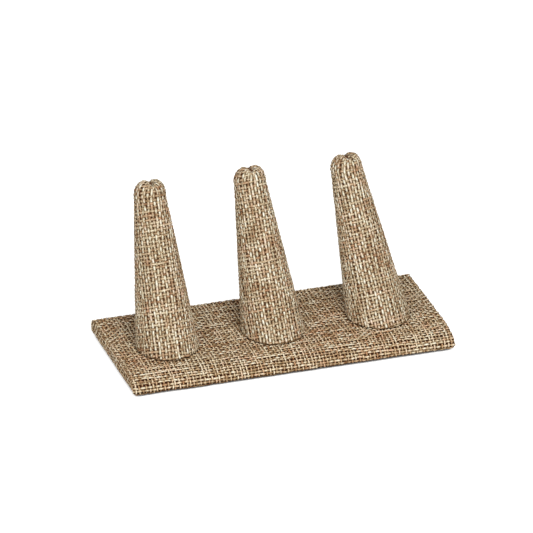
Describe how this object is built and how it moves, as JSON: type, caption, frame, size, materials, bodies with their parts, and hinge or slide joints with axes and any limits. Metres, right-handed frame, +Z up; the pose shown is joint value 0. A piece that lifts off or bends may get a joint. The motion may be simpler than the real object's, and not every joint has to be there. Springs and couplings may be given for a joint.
{
  "type": "ring display stand",
  "caption": "Cloth-covered display stand for finger rings: a flat base with a rounded front edge carries a row of tapered fingers that lean back.",
  "frame": {"origin": "middle of the underside of the base, on the surface that the stand rests on", "axes": "+X along the row of fingers to the right, +Y to the back, towards which the fingers lean, +Z up"},
  "size_m": [0.151, 0.066, 0.0803],
  "materials": {
    "board": "pressed fibreboard, sawn and sanded",
    "woven_cloth": "coarse plain-weave burlap, heathered tan, brown and cream",
    "liner_card": "black card with a fine leather grain, dull",
    "core_wood": "turned softwood, sanded",
    "screw_steel": "zinc plated"
  },
  "bodies": {
    "root": {"base_board": "board", "base_cover": "woven_cloth", "bottom_liner": "liner_card", "finger_screws": "screw_steel", "finger_core_left": "core_wood", "finger_core_middle": "core_wood", "finger_core_right": "core_wood", "finger_cover_left": "woven_cloth", "finger_cover_middle": "woven_cloth", "finger_cover_right": "woven_cloth"}
  },
  "joints": []
}
